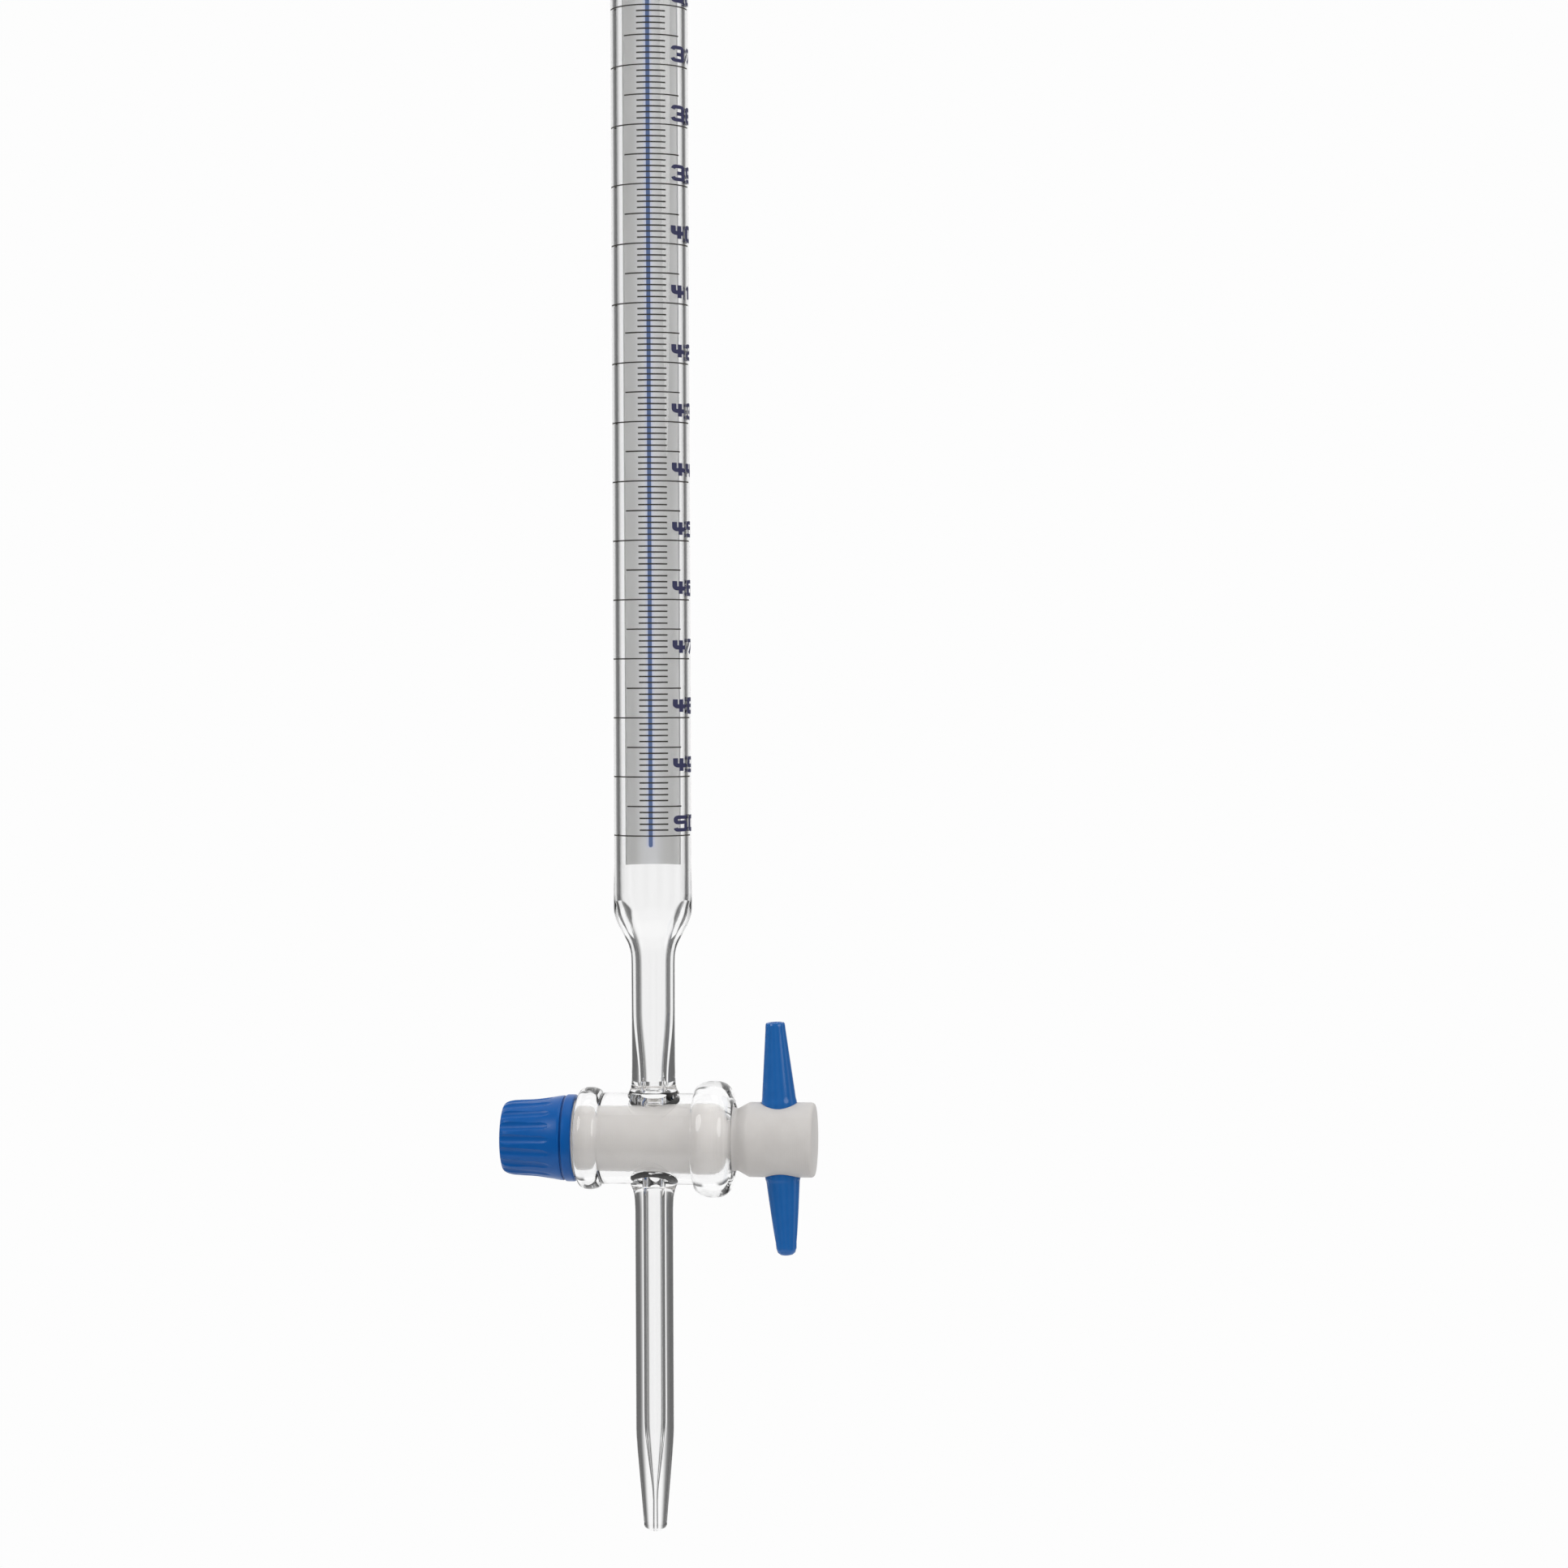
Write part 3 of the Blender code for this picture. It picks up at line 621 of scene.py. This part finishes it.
# %% [markdown]
# ## Washer and tension ring
#
# Inside the nut a plain washer bears on the glass, and a rubber ring behind it keeps the pull even
# while the plastics creep. The washer's hole has the stub's flat.

# %% Washer and ring
washer = [(4.08, -14.36), (6.32, -14.36), (6.46, -14.30), (6.5, -14.18), (6.5, -13.54)]
washer += [(6.46, -13.42), (6.32, -13.36), (4.08, -13.36)]
washer = lay_down(turn(washer, sides=96, ring=True))
carve(washer, box_tool((-14.36, -2.5, 3.38), (-13.36, 2.5, 4.6)), "UNION")
settle(washer, "slip_washer", 30)
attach(washer, "key")
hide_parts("washer")

pick()
bpy.ops.mesh.primitive_torus_add(major_radius=5.35 * MM, minor_radius=1.05 * MM,
                                 major_segments=96, minor_segments=24)
spring = bpy.context.object
bpy.ops.object.mode_set(mode="EDIT")
bpy.ops.mesh.select_all(action="SELECT")
bpy.ops.transform.translate(value=(0, 0, -15.71 * MM))
bpy.ops.object.mode_set(mode="OBJECT")
settle(lay_down(spring), "rubber_ring")
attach(spring, "ring")
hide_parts("tension_ring")

# %% [markdown]
# ## The nut
#
# The nut is moulded with a smooth collar, a fine groove behind it, and a grip of eighteen shallow
# flutes that a wet finger can hold. The grip is waisted and widens towards the collar. The body is
# turned first, its bore with a groove for each turn of the thread.

# %% Nut
nut = [(4.05, -25.75), (4.2, -25.9), (5.40, -25.9), (5.74, -25.80), (6.00, -25.52), (6.18, -25.1)]
nut += [(6.30, -24.6), (6.38, -24.1), (6.47, -22.6), (6.55, -20.9), (6.64, -19.9), (6.78, -18.8)]
nut += [(6.96, -17.6), (7.13, -16.6), (7.24, -15.9), (7.27, -15.55), (7.22, -15.42)]
nut += [(6.96, -15.41), (6.94, -15.38), (6.94, -15.14), (6.96, -15.11), (7.12, -15.11)]
nut += [(7.34, -15.02), (7.43, -14.9), (7.45, -14.7), (7.45, -13.7), (7.40, -13.52)]
nut += [(7.24, -13.40), (7.06, -13.36), (6.78, -13.38), (6.7, -13.46)]
nut += [(6.7, -16.9), (6.62, -17.04), (6.5, -17.06), (4.3, -17.06), (4.05, -17.2)]
for turn_no in range(5):
    crest = -18.1 - THREAD_PITCH * turn_no
    nut += [(4.05, crest + 0.42), (4.40, crest + 0.05), (4.40, crest - 0.05), (4.05, crest - 0.42)]
nut = lay_down(turn(nut, sides=144, ring=True))
print("nut", len(nut.data.polygons), "faces")

# %% [markdown]
# Each flute is cut by a round cutter that leans outwards with the grip. The cutter narrows towards
# its end, so that the flute fades out before the collar.

# %% Flutes
FLUTES = 18
FLUTE_LEAN = math.radians(6.5)
FLUTE_AXIS = 7.06 + 25.9 * math.tan(FLUTE_LEAN)
for flute in range(FLUTES):
    cutter = turn([(1.30, -30.0), (1.30, -19.0), (1.24, -18.4), (1.10, -17.7), (0.80, -17.0),
                   (0.40, -16.6)], sides=40)
    pick(cutter)
    cutter.rotation_euler = (0, FLUTE_LEAN, 0)
    cutter.location = (FLUTE_AXIS * MM, 0, 0)
    bpy.ops.object.transform_apply(location=True, rotation=True, scale=True)
    cutter.rotation_euler = (0, 0, math.radians(360 / FLUTES * flute + 6.3))
    bpy.ops.object.transform_apply(location=True, rotation=True, scale=True)
    carve(nut, lay_down(cutter))
settle(nut, "moulded_nut", 28)
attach(nut, "nut")
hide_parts("lock_nut")

# %% [markdown]
# ## Materials
#
# Every finish starts from what the real one is. Colours are written as sRGB hex values, and one
# function turns them to the linear values that a shader works with. One helper adds a node with its
# settings and links. Patterns read Object coordinates in metres, so a noise scale of 1000 has
# features about a millimetre wide.

# %% Colour and node helpers
def linear(hex_colour):
    """Linear RGBA of an sRGB colour like "#FDFDFD"."""
    shares = [int(hex_colour[at:at + 2], 16) / 255 for at in (1, 3, 5)]
    return [s / 12.92 if s <= 0.04045 else ((s + 0.055) / 1.055) ** 2.4 for s in shares] + [1.0]


def add(tree, kind, inputs=None, **settings):
    """Add a node; an input is a value, or another node's output to link."""
    node = tree.nodes.new(kind)
    for name, value in settings.items():
        setattr(node, name, value)
    for socket, value in (inputs or {}).items():
        if isinstance(value, bpy.types.NodeSocket):
            tree.links.new(value, node.inputs[socket])
        else:
            node.inputs[socket].default_value = value
    return node


def finish(name, *pieces):
    """An empty node material on some pieces; returns its tree and its output node."""
    material = bpy.data.materials.new(name)
    material.use_nodes = True
    material.node_tree.nodes.clear()
    for piece in pieces:
        piece.data.materials.clear()
        piece.data.materials.append(material)
    return material.node_tree, add(material.node_tree, "ShaderNodeOutputMaterial")


print("white card", [round(share, 3) for share in linear("#FDFDFD")])

# %% [markdown]
# ### Borosilicate glass
#
# Drawn borosilicate tubing has an index of 1.474. It is almost colourless, and the drawing leaves
# very faint long ripples along it, which show only as a slight unevenness of its dark edges. A
# clear body keeps no roughness, and its edges' darkness comes from the room that it refracts.

# %% Glass
tree, out = finish("borosilicate_glass_drawn", glass_body)
place = add(tree, "ShaderNodeTexCoord")
along = add(tree, "ShaderNodeMapping", {"Vector": place.outputs["Object"], "Scale": (260, 260, 9)})
ripple = add(tree, "ShaderNodeTexNoise", {"Vector": along.outputs["Vector"], "Scale": 1.0,
                                          "Detail": 1.5, "Roughness": 0.4})
swell = add(tree, "ShaderNodeBump", {"Height": ripple.outputs["Fac"], "Strength": 0.012,
                                     "Distance": 0.0004})
body = add(tree, "ShaderNodeBsdfPrincipled",
           {"Base Color": linear("#FFFFFF"), "Roughness": 0.0, "IOR": 1.474,
            "Transmission Weight": 1.0, "Normal": swell.outputs["Normal"]})
tree.links.new(body.outputs["BSDF"], out.inputs["Surface"])
print(tree.nodes.keys())

# %% [markdown]
# ### Opal glass
#
# Opal glass is milky all through, and drawing it leaves faint long streaks. Along its middle, near
# the line, a painted highlight makes it a little whiter. The line's blue bleeds a fraction of a
# millimetre into it on both sides, and painted shade darkens its lower end. The line is enamel with
# a fine grain.

# %% Opal strip and blue line
tree, out = finish("opal_glass_fused", strip)
place = add(tree, "ShaderNodeTexCoord")
along = add(tree, "ShaderNodeMapping", {"Vector": place.outputs["Object"], "Scale": (900, 900, 6)})
streak = add(tree, "ShaderNodeTexNoise", {"Vector": along.outputs["Vector"], "Scale": 1.0,
                                          "Detail": 2.0})
milk = add(tree, "ShaderNodeMix", {"Factor": streak.outputs["Fac"], 6: linear("#C4C4C3"),
                                   7: linear("#CCCCCB")}, data_type="RGBA")
faced = add(tree, "ShaderNodeVectorRotate",
            {"Vector": place.outputs["Object"], "Angle": -LINE_TURN}, rotation_type="Z_AXIS")
split = add(tree, "ShaderNodeSeparateXYZ", {"Vector": faced.outputs[0]})
away = add(tree, "ShaderNodeMath", {0: split.outputs["X"]}, operation="ABSOLUTE")
# Painted highlight: the strip is painted whiter within a few millimetres of the line, where light
# falls brightest.
painted_highlight_middle = add(tree, "ShaderNodeMapRange", {"Value": away.outputs[0], "From Min": 0.8 * MM,
                                         "From Max": 3.0 * MM, "To Min": 1.0, "To Max": 0.0},
            interpolation_type="SMOOTHSTEP")
crown = add(tree, "ShaderNodeMix", {"Factor": painted_highlight_middle.outputs["Result"], 6: milk.outputs[2],
                                    7: linear("#DDDEE0")}, data_type="RGBA")
bleed = add(tree, "ShaderNodeMapRange", {"Value": away.outputs[0], "From Min": 0.36 * MM,
                                         "From Max": 1.0 * MM, "To Min": 0.9, "To Max": 0.0},
            interpolation_type="SMOOTHSTEP")
ends = add(tree, "ShaderNodeMapRange",
           {"Value": split.outputs["Z"], "From Min": LINE_LOW - 0.3 * MM,
            "From Max": LINE_LOW + 0.2 * MM})
beside = add(tree, "ShaderNodeMath", {0: bleed.outputs["Result"], 1: ends.outputs["Result"]},
             operation="MULTIPLY")
stained = add(tree, "ShaderNodeMix", {"Factor": beside.outputs[0], 6: crown.outputs[2],
                                      7: linear("#D2D8EE")}, data_type="RGBA")
# Painted shade: the strip's lower end is painted darker, towards a grey of #7E7C79.
painted_shade_low_end = add(tree, "ShaderNodeMapRange", {"Value": split.outputs["Z"], "From Min": -255.0 * MM,
                                        "From Max": -243.0 * MM, "To Min": 0.14, "To Max": 0.0},
           interpolation_type="SMOOTHSTEP")
low_end_shaded = add(tree, "ShaderNodeMix", {"Factor": painted_shade_low_end.outputs["Result"], 6: stained.outputs[2],
                                     7: linear("#7E7C79")}, data_type="RGBA")
body = add(tree, "ShaderNodeBsdfPrincipled",
           {"Base Color": low_end_shaded.outputs[2], "Roughness": 0.28, "IOR": 1.5})
tree.links.new(body.outputs["BSDF"], out.inputs["Surface"])
print(tree.nodes.keys())

tree, out = finish("blue_enamel_drawn_line", line)
place = add(tree, "ShaderNodeTexCoord")
along = add(tree, "ShaderNodeMapping",
            {"Vector": place.outputs["Object"], "Scale": (2500, 2500, 40)})
grain = add(tree, "ShaderNodeTexNoise", {"Vector": along.outputs["Vector"], "Scale": 1.0})
blue = add(tree, "ShaderNodeMix", {"Factor": grain.outputs["Fac"], 6: linear("#4E6798"),
                                   7: linear("#5A71A2")}, data_type="RGBA")
body = add(tree, "ShaderNodeBsdfPrincipled",
           {"Base Color": blue.outputs[2], "Roughness": 0.35, "IOR": 1.5})
tree.links.new(body.outputs["BSDF"], out.inputs["Surface"])

# %% [markdown]
# ### Fired enamel
#
# The marks and numbers are ceramic enamel, printed through a mesh and fired. It is matt, and its
# grain is about a tenth of a millimetre wide.

# %% Enamel
for name, dark, pale, piece in (("black_enamel_fired", "#2B2823", "#3A362F", marks),
                                ("navy_enamel_fired", "#25264E", "#343660", numbers)):
    tree, out = finish(name, piece)
    place = add(tree, "ShaderNodeTexCoord")
    pores = add(tree, "ShaderNodeTexNoise", {"Vector": place.outputs["Object"], "Scale": 9000.0,
                                             "Detail": 2.0})
    ink = add(tree, "ShaderNodeMix", {"Factor": pores.outputs["Fac"], 6: linear(dark),
                                      7: linear(pale)}, data_type="RGBA")
    relief = add(tree, "ShaderNodeBump", {"Height": pores.outputs["Fac"], "Strength": 0.2,
                                          "Distance": 0.00001})
    body = add(tree, "ShaderNodeBsdfPrincipled",
               {"Base Color": ink.outputs[2], "Roughness": 0.55,
                "Normal": relief.outputs["Normal"]})
    tree.links.new(body.outputs["BSDF"], out.inputs["Surface"])
    print(name, len(tree.nodes), "nodes")

# %% [markdown]
# ### PTFE
#
# PTFE is waxy and slightly see-through, so light softens its edges. The lathe leaves rings a third
# of a millimetre apart, and the washer was cut from the same rod.

# %% PTFE
tree, out = finish("ptfe_turned", key, washer)
place = add(tree, "ShaderNodeTexCoord")
rings = add(tree, "ShaderNodeTexWave", {"Vector": place.outputs["Object"], "Scale": 900.0,
                                        "Distortion": 0.6, "Detail": 1.0}, bands_direction="X")
cloud = add(tree, "ShaderNodeTexNoise", {"Vector": place.outputs["Object"], "Scale": 420.0,
                                         "Detail": 3.0})
wax = add(tree, "ShaderNodeMix", {"Factor": cloud.outputs["Fac"], 6: linear("#C9C5C2"),
                                  7: linear("#D2CFCC")}, data_type="RGBA")
turned = add(tree, "ShaderNodeBump", {"Height": rings.outputs["Fac"], "Strength": 0.35,
                                      "Distance": 0.000012})
body = add(tree, "ShaderNodeBsdfPrincipled",
           {"Base Color": wax.outputs[2], "Roughness": 0.42, "IOR": 1.36,
            "Subsurface Weight": 0.35, "Subsurface Radius": (0.0012, 0.0012, 0.0011),
            "Subsurface Scale": 1.0, "Normal": turned.outputs["Normal"]})
tree.links.new(body.outputs["BSDF"], out.inputs["Surface"])
print(tree.nodes.keys())

# %% [markdown]
# ### Moulded plastics and rubber
#
# The nut is polypropylene and the handle a glossier plastic. Both show a faint moulding texture in
# their gloss. The ring is nitrile rubber, matt with a fine bloom.

# %% Plastics
for name, dark, pale, rough, index, piece in (
        ("polypropylene_moulded_blue", "#00539F", "#045CA9", 0.29, 1.35, nut),
        ("abs_moulded_steel_blue", "#1C60A8", "#2468B0", 0.16, 1.42, handle),
        ("nitrile_rubber_moulded", "#242424", "#303030", 0.60, 1.50, spring)):
    tree, out = finish(name, piece)
    place = add(tree, "ShaderNodeTexCoord")
    mottle = add(tree, "ShaderNodeTexNoise", {"Vector": place.outputs["Object"], "Scale": 700.0,
                                              "Detail": 3.0})
    skin = add(tree, "ShaderNodeTexNoise", {"Vector": place.outputs["Object"], "Scale": 5200.0,
                                            "Detail": 1.0})
    tint = add(tree, "ShaderNodeMix", {"Factor": mottle.outputs["Fac"], 6: linear(dark),
                                       7: linear(pale)}, data_type="RGBA")
    relief = add(tree, "ShaderNodeBump", {"Height": skin.outputs["Fac"], "Strength": 0.10,
                                          "Distance": 0.00002})
    body = add(tree, "ShaderNodeBsdfPrincipled",
               {"Base Color": tint.outputs[2], "Roughness": rough, "IOR": index,
                "Normal": relief.outputs["Normal"]})
    tree.links.new(body.outputs["BSDF"], out.inputs["Surface"])
    print(name, len(tree.nodes), "nodes")

# %% [markdown]
# ## Floor
#
# The floor is a pale card below the jet's tip. It glows a little, and it fades out towards its rim,
# so that it has no edge against the white room.

# %% Floor
pick()
bpy.ops.mesh.primitive_circle_add(vertices=96, radius=0.30, fill_type="NGON",
                                  location=(0, 0, -0.45))
floor = bpy.context.object
floor.name = "pale_floor"
tree, out = finish("matt_white_card", floor)
place = add(tree, "ShaderNodeTexCoord")
reach = add(tree, "ShaderNodeVectorMath", {0: place.outputs["Object"]}, operation="LENGTH")
fade = add(tree, "ShaderNodeMapRange", {"Value": reach.outputs["Value"], "From Min": 0.12,
                                        "From Max": 0.29}, interpolation_type="SMOOTHSTEP")
card = add(tree, "ShaderNodeBsdfDiffuse", {"Color": linear("#C8C8C8")})
glow = add(tree, "ShaderNodeEmission", {"Color": linear("#FDFDFD"), "Strength": 0.42})
both = add(tree, "ShaderNodeAddShader", {0: card.outputs[0], 1: glow.outputs[0]})
clear = add(tree, "ShaderNodeBsdfTransparent")
sheet = add(tree, "ShaderNodeMixShader", {0: fade.outputs["Result"], 1: both.outputs[0],
                                          2: clear.outputs[0]})
tree.links.new(sheet.outputs[0], out.inputs["Surface"])
print("floor", floor.dimensions)

# %% [markdown]
# ## Room
#
# Glass shows what surrounds it. A white room with dark panels makes the tube's edges dark and its
# middle white, as a photographer's dark cards do. The panels depend on the direction only, with
# white above and below them. Behind the burette, as the photograph sees it, stands one wide pair,
# and every other direction has narrow ones, 45 degrees apart. Mirror images of the camera's side
# are kept weak. Light that was scattered meets a plain soft room, brighter from above, and more of
# it inside the glass, whose walls hold much back.

# %% Room
PANEL = 0.15
SEEN_THROUGH = 1.32
THROUGH_GLASS = 3.9
room = bpy.data.worlds.new("white_room")
bpy.context.scene.world = room
room.use_nodes = True
tree = room.node_tree
tree.nodes.clear()
out = add(tree, "ShaderNodeOutputWorld")
look = add(tree, "ShaderNodeLightPath")
way = add(tree, "ShaderNodeTexCoord")
split = add(tree, "ShaderNodeSeparateXYZ", {"Vector": way.outputs["Generated"]})


def step(operation, first, second):
    """One sum with two values."""
    return add(tree, "ShaderNodeMath", {0: first, 1: second}, operation=operation).outputs[0]


def ramp(value, start, end, low=0.0, high=1.0):
    """A soft step between two values."""
    return add(tree, "ShaderNodeMapRange",
               {"Value": value, "From Min": start, "From Max": end, "To Min": low, "To Max": high},
               interpolation_type="SMOOTHSTEP").outputs["Result"]


def either(choice, first, second):
    """The first value where the choice is 0, the second where it is 1."""
    return add(tree, "ShaderNodeMix", {0: choice, 2: first, 3: second}).outputs[0]


bearing = step("ADD", step("ARCTAN2", split.outputs["X"], split.outputs["Y"]), VIEW_TURN)
from_y = step("PINGPONG", bearing, math.pi / 2)
from_eighth = step("PINGPONG", bearing, math.pi / 8)
front_wall = step("MAXIMUM", ramp(from_y, math.radians(17), math.radians(36), 1.0, PANEL),
                  ramp(from_y, math.radians(76), math.radians(83), PANEL, 1.0))
other_walls = ramp(from_eighth, math.radians(9), math.radians(16), 1.0, PANEL)
seen_down = ramp(split.outputs["Z"], -0.262, -0.292)
seen_back = ramp(split.outputs["Y"], 0.02, -0.02)
walls = either(step("MAXIMUM", seen_down, seen_back), front_wall, other_walls)
walls = either(ramp(split.outputs["Z"], -0.62, -0.70), walls, 1.0)
walls = either(ramp(split.outputs["Z"], 0.24, 0.36), walls, 1.0)
through = step("MULTIPLY", walls, SEEN_THROUGH)
mirrored = step("MULTIPLY", walls, ramp(split.outputs["Y"], -0.2, 0.3, 0.22, 1.0))
ambient = ramp(split.outputs["Z"], -0.6, 0.6, 0.28, 0.52)
bounced = step("GREATER_THAN", look.outputs["Diffuse Depth"], 0.5)
soft = either(look.outputs["Is Transmission Ray"], ambient,
              step("MULTIPLY", ambient, THROUGH_GLASS))
level = either(look.outputs["Is Glossy Ray"], through, mirrored)
level = either(bounced, level, soft)
level = either(look.outputs["Is Camera Ray"], level, 1.0)
pale = add(tree, "ShaderNodeBackground", {"Color": linear("#FDFDFD"), "Strength": level})
tree.links.new(pale.outputs[0], out.inputs["Surface"])
print("room", len(tree.nodes), "nodes")

# %% [markdown]
# ## Lamps
#
# Three large round lamps stand for two windows and the ceiling. They light the plastics and leave
# soft highlights on the glass, which doesn't let them show through.

# %% Lamps
AIM = Vector((0, 0, -0.25))
for name, place, size, power in (("left_window", (-1.4, -1.2, 0.9), 1.2, 15),
                                 ("right_window", (1.5, -1.0, 0.5), 1.2, 11),
                                 ("top_softbox", (0.1, -0.2, 1.6), 1.4, 4)):
    pick()
    bpy.ops.object.light_add(type="AREA", location=place)
    lamp = bpy.context.object
    lamp.name = name
    lamp.data.shape = "DISK"
    lamp.data.size = size
    lamp.data.energy = power
    lamp.rotation_euler = (AIM - Vector(place)).to_track_quat("-Z", "Y").to_euler()
    lamp.visible_camera = False
    lamp.visible_transmission = False
    print(name, power, "W")

# %% [markdown]
# ## Camera
#
# The photograph was taken from a little above the scale's lower end, close enough for the marks to
# bow. The camera stands on the scale's side, turned to the right with the strip and the print, and
# looks down by about one and a half degrees.

# %% Camera
STAND = Vector((22.5, -621.8, -225.9))
DOWN = 1.43
ROLL = -0.20
pick()
turn_right = Matrix.Rotation(VIEW_TURN, 3, "Z")
look_down = Matrix.Rotation(math.radians(90 - DOWN), 3, "X")
roll = Matrix.Rotation(math.radians(ROLL), 3, "Z")
bpy.ops.object.camera_add(location=turn_right @ STAND * MM,
                          rotation=(turn_right @ look_down @ roll).to_euler())
camera = bpy.context.object
camera.data.sensor_width = 36
camera.data.lens = 83.563
camera.data.clip_start = 0.01
camera.data.clip_end = 20
bpy.context.scene.camera = camera
bpy.context.scene.view_settings.view_transform = "Standard"
print("camera at", camera.location, "lens", camera.data.lens)
